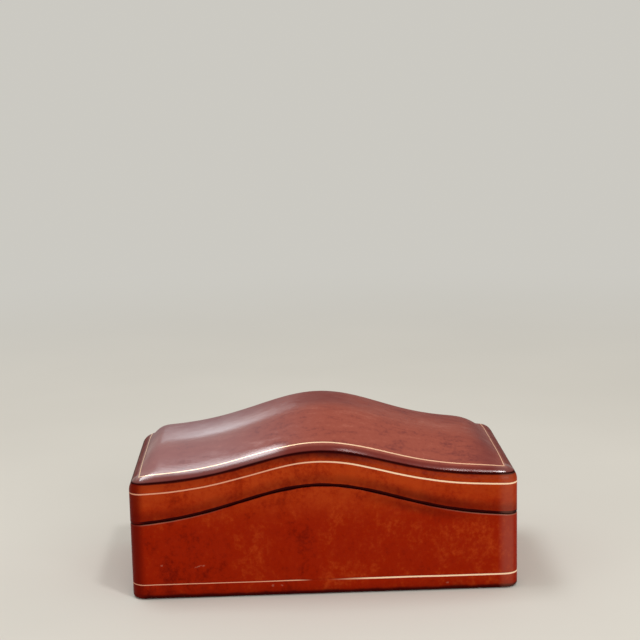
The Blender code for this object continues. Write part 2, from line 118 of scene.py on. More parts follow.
class LeatherBoxShape(bpy.types.PropertyGroup):
    """Sizes of the box's visible pieces."""

    half_length: length("Half length", "From the middle to an end", BOX_HALF[0])
    half_depth: length("Half depth", "From the middle to the front", BOX_HALF[1])
    corner: length("Corner radius", "Of the plan and of the lid's rolled edge", 0.01)
    crest: length("Crest", "Where seam and edge are highest", -0.004)
    seam_low: length("Seam height", "At the ends", 0.0546)
    seam_rise: length("Seam rise", "From the ends to the crest", 0.0267)
    seam_spread: length("Seam spread", "How wide the seam's hump is", 0.056)
    seam_gap: length("Seam gap", "Between base and lid", 0.0003)
    edge_low: length("Margin height", "At the ends", 0.0897)
    edge_rise: length("Margin rise", "From the ends to the crest", 0.0208)
    edge_spread: length("Margin spread", "How wide the margin's hump is", 0.048)
    crease_angle: FloatProperty(
        name="Crease angle", description="Where the crease lies on the rolled edge",
        default=math.radians(55), subtype="ANGLE", unit="ROTATION",
    )
    crown_low: length("Crown height", "Of the cushion above the margin, at the ends", 0.0143)
    crown_gain: length("Crown gain", "What the cushion gains at its crest", 0.0047)
    crown_crest: length("Crown crest", "Where the cushion is highest", 0.0145)
    crown_spread: length("Crown spread", "How wide the cushion's hump is", 0.039)
    crown_left: length("Left shoulder", "Its width at the left", 0.026)
    crown_right: length("Right shoulder", "Its width at the right", 0.044)
    crown_side: length("Side shoulder", "Its width at front and back", 0.066)
    crown_end_start: length("End start", "From the ends to the cushion's foot", 0.005)
    crown_side_start: length("Side start", "From front and back to the foot", 0.0018)
    crown_power: FloatProperty(
        name="Shoulder power", description="How near to its foot it is steepest", default=5
    )
    leather: length("Leather", "Thickness of the covering", 0.0015)
    rim_rounding: length("Rim rounding", "Of the leather at the seam", 0.001)
    foot_rounding: length("Foot rounding", "Of the base's bottom edge", 0.0025)
    foot_lift: length("Foot lift", "From the table to the leather", 0.0003)
    turn_under: length("Turn-under", "Width of the leather turned under the base", 0.008)
    base_turn_in: length("Base turn-in", "From the outside to the collar", 0.0092)
    lid_turn_in: length("Lid turn-in", "From the outside to the lid's lining", 0.0091)
    glue_gap: length("Glue gap", "Between pieces glued to each other", 0.0003)
    suede: length("Suede", "Thickness of the suede", 0.0008)
    lining: length("Lining", "Thickness of the lid's lining", 0.0006)


class LeatherBoxFinish(bpy.types.PropertyGroup):
    """Colours of the box's finishes."""

    side: colour("Side leather", "Main stain of the sides", (0.27, 0.011, 0.0006))
    side_light: colour("Side leather, light", "Where the stain is thin", (0.4, 0.044, 0.006))
    # Also the colour of the painted shade at the left end's corners
    side_dark: colour("Side leather, dark", "Where the stain is thick", (0.12, 0.003, 0.0004))
    top: colour("Top leather", "Main stain of the top", (0.3, 0.062, 0.034))
    top_light: colour("Top leather, light", "Where the stain is thin", (0.4, 0.105, 0.062))
    # Also the colour of the painted shade towards the top's back and right end
    top_dark: colour("Top leather, dark", "Where the stain is thick", (0.15, 0.024, 0.018))
    # Painted reflection: a pale mauve sheen, strongest over the top's left half
    painted_reflection: colour("Wax bloom", "Where the top's wax has turned dull", (0.275, 0.19, 0.21))
    # Painted shade on the rolled edge outside the gilt line, where it turns down from the light
    rolled: colour("Rolled edge", "Of the top outside its gilt line", (0.135, 0.017, 0.013))
    # Painted shade in the seam, in the crease and at the foot, over the seam's dark dyed edges
    burnish: colour("Dyed and shaded edge", "Of rubbed edges and creases", (0.026, 0.0008, 0.001))
    # Also the colour of the painted highlight on the base's rim and the painted reflection on its
    # right front corner
    scuff: colour("Scuffs", "Where the surface is rubbed through", (0.48, 0.2, 0.13))
    gilt: colour("Gilt line", "Of the lines along the edges", (0.95, 0.66, 0.44))
    gilt_worn: colour("Gilt line, worn", "Where the gilt is thin", (0.72, 0.315, 0.195))
    suede: colour("Suede", "Of linings and collar", (0.33, 0.17, 0.08))
    wood: colour("Boards", "Of the carcase", (0.56, 0.4, 0.22))
    wadding: colour("Wadding", "Of the lid's cushion", (0.72, 0.69, 0.62))
    sole: colour("Sole", "Of the leather under the base", (0.03, 0.01, 0.006))


class LeatherBoxStudio(bpy.types.PropertyGroup):
    """Floor, light and camera."""

    floor: colour("Floor", "Of the pale floor", (0.64, 0.61, 0.56))
    surround: colour("Surround", "Of the pale space round the box", (0.6, 0.585, 0.54))
    lens: FloatProperty(
        name="Lens", description="Focal length", default=84.375, subtype="DISTANCE_CAMERA"
    )
    samples: IntProperty(name="Floor cuts", description="How finely the floor is cut", default=24)


# Nodes

def words(name):
    return name.replace("_", " ").capitalize()


def plug(node, inputs):
    """Links fields to the node's inputs and sets plain values; colours are opaque."""
    for name, value in inputs.items():
        socket = node.inputs[name]
        if isinstance(value, Field):
            node.id_data.links.new(value.socket, socket)
        elif socket.type == "RGBA":
            socket.default_value = (*value, 1)
        else:
            socket.default_value = value


class Field:
    """What a socket gives at each point; sums and products of fields add math nodes."""

    def __init__(self, socket):
        self.socket = socket
        self.tree = socket.id_data

    def through(self, kind, inputs, output=0, **settings):
        """What a new node in the same tree gives."""
        node = self.tree.nodes.new(kind)
        for name, value in settings.items():
            setattr(node, name, value)
        plug(node, inputs)
        return Field(node.outputs[output])

    def math(self, operation, *values):
        return self.through("ShaderNodeMath", dict(enumerate(values)), operation=operation)

    def __rsub__(self, other):
        return self.math("SUBTRACT", other, self)

    def ramp(self, low, high, to_low=0, to_high=1, kind="SMOOTHSTEP"):
        """The share from to_low, where this is low, to to_high, where it is high."""
        inputs = {0: self, 1: low, 2: high, 3: to_low, 4: to_high}
        return self.through("ShaderNodeMapRange", inputs, interpolation_type=kind, clamp=True)

    def bell(self, crest, spread):
        place = (self - crest) / spread
        return (place * place * -0.5).exponent()

    def noise(self, scale, detail=3, roughness=0.5, distortion=0):
        return self.through("ShaderNodeTexNoise", {
            "Vector": self, "Scale": scale, "Detail": detail, "Roughness": roughness,
            "Distortion": distortion,
        })

    def sway(self, *details):
        """Noise about zero."""
        return self.noise(*details) - 0.5

    def stretch(self, *scale):
        return self.through("ShaderNodeMapping", {"Vector": self, "Scale": scale})

    def split(self):
        node = self.tree.nodes.new("ShaderNodeSeparateXYZ")
        plug(node, {0: self})
        return [Field(socket) for socket in node.outputs]


# Signs and methods of a field that are one math node each
OPERATIONS = {
    "__add__": "ADD", "__sub__": "SUBTRACT", "__mul__": "MULTIPLY", "__truediv__": "DIVIDE",
    "__pow__": "POWER", "__abs__": "ABSOLUTE", "__gt__": "GREATER_THAN", "__lt__": "LESS_THAN",
    "larger": "MAXIMUM", "smaller": "MINIMUM", "root": "SQRT", "sign": "SIGN",
    "exponent": "EXPONENT",
}


def field_method(operation):
    return lambda field, *others: field.math(operation, field, *others)


for method, operation in OPERATIONS.items():
    setattr(Field, method, field_method(operation))


def mix(amount, first, second, blend="MIX"):
    """The first colour where the amount is 0 and the second where it is 1."""
    inputs = {0: amount, 6: first, 7: second}
    return amount.through("ShaderNodeMix", inputs, 2, data_type="RGBA", blend_type=blend)


def join(x, y, z):
    return z.through("ShaderNodeCombineXYZ", {0: x, 1: y, 2: z})


def new_group(name, inputs, outputs, kind="ShaderNodeTree"):
    """A node group and its inputs as fields; both sides are given as names by kind."""
    tree = bpy.data.node_groups.new(name, kind)
    for in_out, sockets in (("INPUT", inputs), ("OUTPUT", outputs)):
        for form, names in sockets.items():
            socket = "NodeSocket" + form
            for item in names.split():
                tree.interface.new_socket(words(item), in_out=in_out, socket_type=socket)
    given = tree.nodes.new("NodeGroupInput")
    names = " ".join(inputs.values()).split()
    return tree, SimpleNamespace(**{item: Field(given.outputs[words(item)]) for item in names})


def close_group(tree, **results):
    result = tree.nodes.new("NodeGroupOutput")
    plug(result, {words(name): value for name, value in results.items()})


# Shapes as geometry node groups

def new_shape_group(name, settings):
    """A group that moves a shape's points: the group, its inputs and the points' places."""
    inputs = {"Geometry": "shape", "Float": settings}
    tree, given = new_group(name, inputs, {"Geometry": "shape"}, "GeometryNodeTree")
    position = Field(tree.nodes.new("GeometryNodeInputPosition").outputs[0])
    return tree, given, *position.split()


def close_shape_group(tree, shape, **move):
    moved = shape.through("GeometryNodeSetPosition", {"Geometry": shape, **move})
    close_group(tree, shape=moved)


def serpentine_group():
    """Lifts points by a hump, blended between a lower and an upper line."""
    settings = "lower_level lower_rise lower_spread upper_level upper_rise upper_spread crest"
    tree, given, x, _, z = new_shape_group("Serpentine", settings)
    lower = x.bell(given.crest, given.lower_spread) * given.lower_rise
    upper = x.bell(given.crest, given.upper_spread) * given.upper_rise
    above = z.ramp(given.lower_level, given.upper_level, kind="LINEAR")
    lift = (upper - lower) * above + lower
    close_shape_group(tree, given.shape, Offset=join(0, 0, lift))


def rolled_edge_group():
    """Rounds the plan's corners and rolls what lies outside the margin downwards."""
    tree, given, x, y, z = new_shape_group("Rolled edge", "half_length half_depth radius roll")
    radius = given.radius
    inner = []
    over = []
    for value, half in ((x, given.half_length), (y, given.half_depth)):
        limit = half - radius
        inner.append(abs(value).smaller(limit))
        over.append((abs(value) - limit).larger(0))
    reach = over[0].larger(over[1])
    whole = (over[0] * over[0] + over[1] * over[1]).root()
    pull = reach / whole.larger(TINY)
    places = [
        (beyond * pull + kept) * value.sign()
        for value, kept, beyond in zip((x, y), inner, over)
    ]
    height = (radius * radius - reach * reach).larger(0).root()
    drop = (radius - height) * given.roll
    close_shape_group(tree, given.shape, Position=join(*places, z - drop))


def crown_group():
    """Lifts the points above a level into the lid's cushion."""
    tree, given, x, y, z = new_shape_group("Crown", (
        "level half_length half_depth height gain crest spread left_width right_width "
        "side_width power"
    ))
    lift = given.gain * x.bell(given.crest, given.spread) + given.height
    end_width = (given.right_width - given.left_width) * (x > 0) + given.left_width
    for value, half, width in (
        (x, given.half_length, end_width), (y, given.half_depth, given.side_width),
    ):
        way = (half - abs(value)).ramp(0, width, kind="LINEAR")
        rest = (1 - way) ** given.power
        lift = lift * (1 - rest * (way * given.power + 1))
    lift = lift * (z > given.level)
    close_shape_group(tree, given.shape, Offset=join(0, 0, lift))


# Finishes shared by several materials, as shader node groups

def line_group():
    """Distance from a serpentine line, above it positive, measured square to it."""
    tree, given = new_group(
        "Serpentine line", {"Vector": "vector", "Float": "low rise spread crest"},
        {"Float": "distance"},
    )
    x, _, z = given.vector.split()
    hump = given.rise * x.bell(given.crest, given.spread)
    slope = hump * (x - given.crest) / (given.spread * given.spread)
    steep = (slope * slope + 1).root()
    close_group(tree, distance=(z - (given.low + hump)) / steep)


def stain_group():
    """Leather stain rubbed in by hand: clouds, patches, rubbed streaks and fine flecks."""
    tree, given = new_group("Hand stain", {
        "Vector": "vector rubbed", "Color": "main light dark",
        "Float": "clouds patches streaks flecks",
    }, {"Color": "colour", "Float": "depth"})
    depth = 0.5
    for part, weight in (
        (given.vector.sway(13, 2, 0.5, 0.3), given.clouds),
        (given.vector.sway(52, 5, 0.62, 0.5), given.patches),
        (given.rubbed.sway(150, 3, 0.6, 0.2), given.streaks),
        (given.vector.sway(420, 4, 0.6), given.flecks),
    ):
        depth = part * weight + depth
    hue = mix(depth.ramp(0.5, 0.15), given.main, given.dark)
    hue = mix(depth.ramp(0.5, 0.85), hue, given.light)
    close_group(tree, colour=hue, depth=depth)


def grain_group():
    """Smooth calf: fine pores and faint creases, polished unevenly."""
    tree, given = new_group(
        "Calf grain", {"Vector": "vector", "Float": "pores creases"}, {"Float": "height polish"}
    )
    place = given.vector
    cells = place.through(
        "ShaderNodeTexVoronoi", {"Vector": place, "Scale": 1500, "Randomness": 1}
    )
    creases = place.stretch(1, 1, 1.4).noise(260, 4, 0.65, 0.8)
    height = creases * given.creases + cells.ramp(0.05, 0.45) * given.pores
    polish = place.noise(95, 4, 0.6, 0.2).ramp(0.3, 0.7)
    close_group(tree, height=height, polish=polish)


def gilt_group():
    """A gilt line pressed along a distance of zero, a little uneven and worn."""
    tree, given = new_group(
        "Gilt line", {"Vector": "vector", "Float": "distance width wear"},
        {"Float": "mask groove"},
    )
    place = given.vector
    away = abs(place.sway(28, 2) * 0.0007 + given.distance) / (given.width * 0.5)
    line = (place.sway(900, 3) * 0.35 + away).ramp(0.85, 1.1, 1, 0)
    kept = (place.noise(55, 5, 0.7) - given.wear).ramp(0, 0.12)
    close_group(tree, mask=line * kept, groove=away.ramp(0.6, 1.6, -1, 0))


def edge_shade_group():
    """Painted shade along an edge or crease, over dark dye at the seam: full within the core's
    share of the reach, uneven, gone beyond.
    """
    tree, given = new_group(
        "Dyed and shaded edge", {"Vector": "vector", "Float": "distance reach core strength"},
        {"Float": "mask"},
    )
    away = given.vector.sway(70, 4, 0.6) * 0.6 + abs(given.distance) / given.reach
    close_group(tree, mask=away.ramp(1, given.core) * given.strength)


def scuff_group():
    """A small scuff on the front: an oval in the plane of length and height, ragged."""
    tree, given = new_group(
        "Scuff", {"Vector": "vector", "Float": "along height length width tilt"},
        {"Float": "mask"},
    )
    x, y, z = given.vector.split()
    aside = x - given.along
    wide = aside / given.length
    high = (z - given.height - aside * given.tilt) / given.width
    away = given.vector.sway(1400, 3) * 2.4 + (wide * wide + high * high).root()
    close_group(tree, mask=away.ramp(1, 0.5) * (y < 0))


def suede_group():
    """Suede nap: brushed patches over a fine fuzz."""
    tree, given = new_group(
        "Suede nap", {"Vector": "vector", "Color": "main"},
        {"Color": "colour", "Float": "height"},
    )
    brushed = given.vector.stretch(1, 0.5, 1).noise(60, 4, 0.6, 0.6)
    fuzz = given.vector.noise(2600, 3, 0.7)
    hue = mix(brushed.ramp(0.35, 0.65), given.main, (1, 0.93, 0.85), "SOFT_LIGHT")
    hue = mix(fuzz.ramp(0.3, 0.7, 0.75, 1), (0, 0, 0), hue)
    close_group(tree, colour=hue, height=brushed * 0.4 + fuzz)


def wood_group():
    """Limewood: pale, with faint long grain and fine pores."""
    tree, given = new_group(
        "Limewood grain", {"Vector": "vector", "Color": "main"},
        {"Color": "colour", "Float": "height"},
    )
    bands = given.vector.stretch(6, 60, 60).noise(1.6, 4, 0.55, 1.2)
    fibres = given.vector.stretch(30, 900, 900).noise(1, 3, 0.6)
    grey = fibres * 0.35 + bands * 0.65
    hue = mix(grey.ramp(0.3, 0.7), given.main, (0.7, 0.53, 0.32))
    close_group(tree, colour=hue, height=grey)


GROUP_MAKERS = (
    serpentine_group, rolled_edge_group, crown_group, line_group, stain_group, grain_group,
    gilt_group, edge_shade_group, scuff_group, suede_group, wood_group,
)


# Materials

def new_material(name, roughness, ior, **constants):
    """A material with fixed values on its shader, and its object coordinates."""
    material = bpy.data.materials.new(name)
    material.use_nodes = True
    nodes = material.node_tree.nodes
    fixed = {"Roughness": roughness, "IOR": ior, **constants}
    for socket, value in fixed.items():
        nodes["Principled BSDF"].inputs[socket.replace("_", " ")].default_value = value
    return material, Field(nodes.new("ShaderNodeTexCoord").outputs["Object"])


def feed(material, **fields):
    """Links the fields to the material's shader."""
    shader = material.node_tree.nodes["Principled BSDF"]
    plug(shader, {name.replace("_", " "): field for name, field in fields.items()})
    return material


def use(name, vector, *values, **named):
    """Adds a group, its inputs in their order or named, and gives its outputs by name."""
    node = vector.tree.nodes.new("ShaderNodeGroup")
    node.node_tree = bpy.data.node_groups[name]
    plug(node, dict(enumerate((vector, *values))))
    plug(node, {words(item): value for item, value in named.items()})
    return SimpleNamespace(**{socket.name.lower(): Field(socket) for socket in node.outputs})


def serpentine_distance(place, shape, low, rise, spread):
    return use("Serpentine line", place, low, rise, spread, shape.crest).distance


def crease_distance(place, shape):
    low = shape.edge_low - shape.corner * (1 - math.cos(shape.crease_angle))
    return serpentine_distance(place, shape, low, shape.edge_rise, shape.edge_spread)


def layer_bumps(*layers):
    """Bump nodes one after another, from (height, depth, strength) layers."""
    under = {}
    for height, depth, strength in layers:
        inputs = {"Height": height, "Distance": depth, "Strength": strength, **under}
        under = {"Normal": height.through("ShaderNodeBump", inputs)}
    return under["Normal"]


def shade_and_dye_edges(place, hue, finish, edges):
    """The hue under painted shade along edges and creases, over dark dye at the seam, from
    (distance, reach, core, strength) rows.
    """
    for edge in edges:
        hue = mix(use("Dyed and shaded edge", place, *edge).mask, hue, finish.burnish)
    return hue


# Scuffs on the base's front: place along the length, height, half length and width, tilt
SCUFFS = (
    (-0.118, 0.0255, 0.001, 0.0009, 0),
    (-0.092, 0.024, 0.003, 0.0006, 0.35),
    (-0.088, 0.0245, 0.0013, 0.0009, 0.2),
    (-0.0385, 0.008, 0.0012, 0.0011, 0),
    (-0.032, 0.0078, 0.001, 0.0008, 0),
    (0.088, 0.006, 0.0016, 0.0007, 0.1),
)
SCUFF_STRENGTH = 0.32

# Gilt lines: the lid's low, rise and spread, the base's height, and their widths at the
# left and at the right, where the gilt is well kept
LID_LINE = (0.0783, 0.0208, 0.0479)
BASE_LINE = 0.0112
LID_LINE_WIDTH = 0.001
BASE_LINE_WIDTH = 0.0007
KEPT_LINE_WIDTH = 0.0012
TOP_LINE_WIDTH = 0.0008
TOP_LINE_MIDDLE = -0.0009
TOP_LINE_HALF = (0.1312, 0.0628)

# Where effects on the sides fade in: from, to and, if not 0 and 1, the shares there
SIDE = SimpleNamespace(
    pale_height=(0.05, 0.088, 0, 0.9),
    pale_stain=(0.34, 0.58, 0.35, 1),
    # Painted highlight on the base's rim under the seam
    rim_highlight=(0.0006, 0.0001),
    rim_ends=(0.06, 0.125, 0, 0.35),
    # Painted reflection on the right front corner, which also carries a heavier coat
    band_starts=(0.124, 0.1305),
    band_stops=(0.138, 0.1345),
    front_corner=(-0.052, -0.06),
    # Painted shade at the left end's front and back corners
    dark_corner=(0.056, 0.065),
    dark_end=(-0.128, -0.135, 0, 0.8),
    kept_gilt=(-0.06, 0.05),
    gap_left=(-0.009, -0.024),
    gap_right=(0, 0.038),
    behind_gap=(-0.05, 0),
    handled_above=(0.07, 0.035, 0.1, 0.4),
    handled_below=(0.004, 0.018),
)

# The same for the top; bells are given as their crest and spread
TOP = SimpleNamespace(
    # Painted shade towards the back, behind the crest and at the right end
    crest=(0.004, 0.026),
    crest_behind=(-0.03, 0, 0, 0.75),
    right_end=(0.122, 0.009),
    back=(-0.014, 0.02, 0, 0.5),
    # Painted reflection: its share from the middle to the left end
    painted_reflection=(0.01, -0.085, 0.1, 0.54),
    # Painted shade on the rolled edge outside the gilt line
    rolled=(0.0004, 0.003, 0, 0.9),
    line_wear=(0.03, 0.11, 0.1, 0.3),
    worn_gilt=(-0.03, 0.11, 0.1, 0.6),
    wax_along=(-0.078, 0.029),
    wax_across=(-0.018, 0.013),
    wax_left=(-0.02, -0.08, 0, 0.08),
    wax_edge=(0, -0.004),
    margin_crest=(-0.045, 0.014),
    margin_left=(-0.02, -0.036),
    margin_shift=(-0.075, -0.035, 0, 0.003),
    margin_front=(-0.0545, -0.06),
    right_corner=(0.13, 0.004),
    left_corner=(-0.132, 0.0065),
    handled_edge=(-0.0005, 0.001),
    handled_front=(-0.054, -0.062),
    crease=(0, 0.0015),
)


def side_leather(shape, finish):
    """Stained calf of the sides, with gilt lines and a few scuffs, painted shade at the seam, the
    crease, the foot and the left corners, a painted highlight on the base's rim and a painted
    reflection on its right front corner.
    """
    material, place = new_material("Side leather", 0.3, 1.08, Coat_IOR=1.45, Coat_Roughness=0.18)
    x, y, z = place.split()
    stain = use(
        "Hand stain", place, rubbed=place.stretch(1.1, 1.1, 0.7),
        main=finish.side, light=finish.side_light, dark=finish.side_dark,
        clouds=0.45, patches=0.45, streaks=0.4, flecks=0.45,
    )
    seam = serpentine_distance(place, shape, shape.seam_low, shape.seam_rise, shape.seam_spread)
    crease = crease_distance(place, shape)
    # Lighter towards the top of the sides, where the stain is thin
    lighter_higher = z.ramp(*SIDE.pale_height) * stain.depth.ramp(*SIDE.pale_stain)
    hue = mix(lighter_higher, stain.colour, finish.side_light)
    # Painted shade: darker along the seam over its dyed edges, in bands above and below it, in
    # and under the crease, and at the foot as a contact shadow
    hue = shade_and_dye_edges(place, hue, finish, (
        (seam - 0.0007, 0.0016, 0.7, 1),
        (seam - 0.0042, 0.0075, 0, x.bell(0.075, 0.028) * 0.25 + 0.35),
        (seam + 0.004, 0.006, 0, x.bell(0.068, 0.025) * 0.4),
        (crease, 0.0015, 0.4, 0.95),
        (crease, 0.008, 0.1, x.bell(0, 0.03) * 0.5 + 0.35),
        (z, 0.0045, 0.5, 0.9),
        (z, 0.009, 0.1, 0.3),
    ))
    # Painted highlight: a light line along the base's rounded rim just under the seam, stronger
    # towards the ends
    rim = abs(seam + 0.0008).ramp(*SIDE.rim_highlight) * abs(x).ramp(*SIDE.rim_ends)
    hue = mix(rim, hue, finish.scuff)
    # Painted reflection: a pale band down the right front corner in the scuff colour; the same
    # band carries a heavier coat
    corner_sheen = x.ramp(*SIDE.band_starts) * x.ramp(*SIDE.band_stops) * y.ramp(*SIDE.front_corner)
    hue = mix(corner_sheen * 0.12, hue, finish.scuff)
    # Painted shade: the left end's front and back corners are darker
    corner = abs(y).ramp(*SIDE.dark_corner) * x.ramp(*SIDE.dark_end)
    hue = mix(corner, hue, finish.side_dark)
    for scuff in SCUFFS:
        hue = mix(use("Scuff", place, *scuff).mask * SCUFF_STRENGTH, hue, finish.scuff)
    kept = x.ramp(*SIDE.kept_gilt)
    no_gap = x.ramp(*SIDE.gap_left).larger(x.ramp(*SIDE.gap_right))
    no_gap = no_gap.larger(y.ramp(*SIDE.behind_gap))
    gilt = 0
    groove = 0
    for distance, wear, width, left in (
        (serpentine_distance(place, shape, *LID_LINE), 0.26, LID_LINE_WIDTH, 1),
        (z - BASE_LINE, 0.14, BASE_LINE_WIDTH, no_gap),
    ):
        line = use(
            "Gilt line", place, distance=distance, wear=kept * -0.12 + wear,
            width=kept.ramp(0, 1, width, KEPT_LINE_WIDTH),
        )
        gilt = line.mask * left + gilt
        groove = line.groove + groove
    hue = mix(gilt, hue, mix(kept, finish.gilt_worn, finish.gilt))
    grain = use("Calf grain", place, pores=0.5, creases=0.7)
    handled = corner_sheen * z.ramp(*SIDE.handled_above) * z.ramp(*SIDE.handled_below)
    normal = layer_bumps(
        (grain.height, 0.00006, 0.5), (place.noise(40, 2), 0.0006, 0.25),
        (groove, 0.00035, 0.8),
    )
    return feed(
        material, Base_Color=hue, Normal=normal, Metallic=gilt * 0.05,
        Coat_Weight=grain.polish * 0.03 + handled,
        Roughness=gilt * 0.1 + (grain.polish * 0.12 + 0.26),
    )


def top_leather(shape, finish):
    """Stained and polished calf of the top, with a gilt line round the cushion, a painted
    reflection over its left half, and painted shade towards the back, on the rolled edge and in
    the crease.
    """
    material, place = new_material("Top leather", 0.3, 1.04, Coat_IOR=1.7, Coat_Roughness=0.18)
    x, y, _ = place.split()
    stain = use(
        "Hand stain", place, rubbed=place.stretch(0.4, 1.3, 1.3),
        main=finish.top, light=finish.top_light, dark=finish.top_dark,
        clouds=0.5, patches=0.35, streaks=0.7, flecks=0.45,
    )
    outside = abs(x - TOP_LINE_MIDDLE) - TOP_LINE_HALF[0]
    outside = outside.larger(abs(y) - TOP_LINE_HALF[1])
    # Painted shade: the top is darker towards the back, behind the crest and at the right end,
    # where it turns away from the light
    crest = x.bell(*TOP.crest) * y.ramp(*TOP.crest_behind)
    shade_turned_away = y.ramp(*TOP.back).larger(crest).larger(x.bell(*TOP.right_end) * 0.75)
    hue = mix(shade_turned_away, stain.colour, finish.top_dark)
    # Painted reflection: a pale mauve sheen laid over the top, strongest at the left
    hue = mix(x.ramp(*TOP.painted_reflection), hue, finish.painted_reflection)
    # Painted shade: the rolled edge outside the gilt line is darker
    hue = mix(outside.ramp(*TOP.rolled), hue, finish.rolled)
    crease = crease_distance(place, shape)
    # Painted shade in the crease under the rolled edge
    hue = shade_and_dye_edges(place, hue, finish, ((crease, 0.0011, 0.3, 0.95),))
    line = use(
        "Gilt line", place, distance=outside, width=TOP_LINE_WIDTH,
        wear=x.larger(y).ramp(*TOP.line_wear),
    )
    gilding = mix(x.ramp(*TOP.worn_gilt), finish.gilt, finish.gilt_worn)
    hue = mix(line.mask, hue, gilding)
    grain = use("Calf grain", place, pores=0.4, creases=0.8)
    brushed = (stain.depth - 0.5) * 0.5
    waxed = x.bell(*TOP.wax_along) * y.bell(*TOP.wax_across) * 0.5 + x.ramp(*TOP.wax_left)
    waxed = waxed * outside.ramp(*TOP.wax_edge)
    margin = (x.bell(*TOP.margin_crest) * 0.45 + 0.5) * x.ramp(*TOP.margin_left)
    margin = margin * (y + x.ramp(*TOP.margin_shift)).ramp(*TOP.margin_front)
    corners = x.bell(*TOP.right_corner) + x.bell(*TOP.left_corner)
    handled = outside.ramp(*TOP.handled_edge) * y.ramp(*TOP.handled_front)
    handled = handled * (corners * 0.85 + 0.15)
    waxed = (waxed.larger(margin.larger(handled)) + brushed) * crease.ramp(*TOP.crease)
    normal = layer_bumps(
        (grain.height, 0.00006, 0.5), (place.noise(40, 2), 0.0006, 0.25),
        (line.groove, 0.0004, 0.8),
    )
    return feed(
        material, Base_Color=hue, Normal=normal, Metallic=line.mask * 0.3,
        Coat_Weight=waxed.larger(0), Roughness=grain.polish * 0.12 + 0.28,
    )


def suede_leather(finish):
    material, place = new_material("Suede lining", 0.9, 1.3, Sheen_Weight=0.35)
    nap = use("Suede nap", place, main=finish.suede)
    return feed(
        material, Base_Color=nap.colour, Normal=layer_bumps((nap.height, 0.00025, 0.6)),
        Roughness=nap.height.ramp(0.2, 1.1, 0.8, 0.98),
    )


def sole_leather(finish):
    material, place = new_material("Sole leather", 0.6, 1.4)
    stain = use(
        "Hand stain", place, rubbed=place, main=finish.sole, light=(0.055, 0.022, 0.014),
        dark=(0.012, 0.004, 0.003), clouds=0.6, patches=1, streaks=0.3, flecks=0.6,
    )
    grain = use("Calf grain", place, pores=0.8, creases=1)
    return feed(
        material, Base_Color=stain.colour, Normal=layer_bumps((grain.height, 0.00012, 0.6)),
        Roughness=grain.polish * 0.2 + 0.5,
    )


def limewood(name, tone):
    material, place = new_material(name, 0.7, 1.45)
    grain = use("Limewood grain", place, main=tone)
    return feed(
        material, Base_Color=grain.colour, Normal=layer_bumps((grain.height, 0.00015, 0.5)),
        Roughness=grain.height.ramp(0.3, 0.7, 0.62, 0.78),
    )


def wadding_felt(finish):
    material, place = new_material("Wadding", 1, 1.3, Sheen_Weight=0.3)
    fibres = place.stretch(1, 0.4, 1).noise(900, 4, 0.7, 1.5)
    tufts = place.noise(120, 4, 0.6)
    hue = mix(tufts.ramp(0.3, 0.7), finish.wadding, (0.6, 0.565, 0.49))
    return feed(
        material, Base_Color=hue, Normal=layer_bumps((fibres * 0.4 + tufts, 0.0006, 0.7))
    )


# Modelling

def deselect_all():
    if bpy.context.object and bpy.context.object.mode != "OBJECT":
        bpy.ops.object.mode_set(mode="OBJECT")
    bpy.ops.object.select_all(action="DESELECT")


def begin(name, add, size, place, **details):
    """Adds a primitive at its size and place, ready to be edited."""
    deselect_all()
    add(size=1, location=place, **details)
    piece = bpy.context.object
    piece.name = name
    piece.data.name = name
    piece.scale = size
    bpy.ops.object.transform_apply(location=True, rotation=True, scale=True)
    bpy.ops.object.mode_set(mode="EDIT")
    bpy.ops.mesh.select_all(action="SELECT")
    return piece


def begin_grid(name, half, height, along, across):
    """A level grid of that half size, with its cells along and across."""
    return begin(
        name, bpy.ops.mesh.primitive_grid_add, (2 * half[0], 2 * half[1], 1), (0, 0, height),
        x_subdivisions=along, y_subdivisions=across,
    )


def pick(piece, kind, test):
    """Selects the edges or faces that pass the test."""
    bpy.ops.mesh.select_mode(type=kind)
    bpy.ops.mesh.select_all(action="DESELECT")
    mesh = bmesh.from_edit_mesh(piece.data)
    items = mesh.edges if kind == "EDGE" else mesh.faces
    found = [item for item in items if test(item)]
    if not found:
        raise RuntimeError(f"nothing to pick on {piece.name}")
    for item in found:
        item.select_set(True)
    mesh.select_flush_mode()
    bmesh.update_edit_mesh(piece.data)


def lies_at(axis, value):
    """A test for edges and faces that lie flat at a place along an axis."""
    return lambda item: all(abs(vert.co[axis] - value) < NEAR for vert in item.verts)


def longer_than(least):
    return lambda edge: edge.calc_length() > least


def extrude(move):
    bpy.ops.mesh.extrude_region_move(TRANSFORM_OT_translate={"value": move})


def turn_outwards():
    bpy.ops.mesh.select_all(action="SELECT")
    bpy.ops.mesh.normals_make_consistent(inside=False)


def rounded_block(name, shape, inset, bottom, top, arc_steps=12, cuts=79):
    """A block with the box's rounded plan, its long sides cut across."""
    half = (shape.half_length - inset, shape.half_depth - inset)
    size = (2 * half[0], 2 * half[1], 1)
    piece = begin(name, bpy.ops.mesh.primitive_plane_add, size, (0, 0, bottom))
    corner = max(shape.corner - inset, LEAST_CORNER)
    bpy.ops.mesh.bevel(offset=corner, segments=arc_steps, profile=0.5, affect="VERTICES")
    pick(piece, "EDGE", lambda edge: abs(abs(edge.verts[0].co.y) - half[1]) < NEAR
         and edge.calc_length() > half[0])
    bpy.ops.mesh.subdivide(number_cuts=cuts)
    pick(piece, "FACE", lambda face: True)
    bpy.ops.mesh.dissolve_faces()
    extrude((0, 0, top - bottom))
    turn_outwards()
    return piece


def plate(name, node, shape, arc_steps, softening):
    """A level plate with the box's rounded plan, in the place of a node."""
    low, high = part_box(node)
    inset = shape.half_length - high[0]
    piece = rounded_block(name, shape, inset, low[2], high[2], arc_steps, FACING_CUTS)
    round_edges(piece, softening)
    return piece


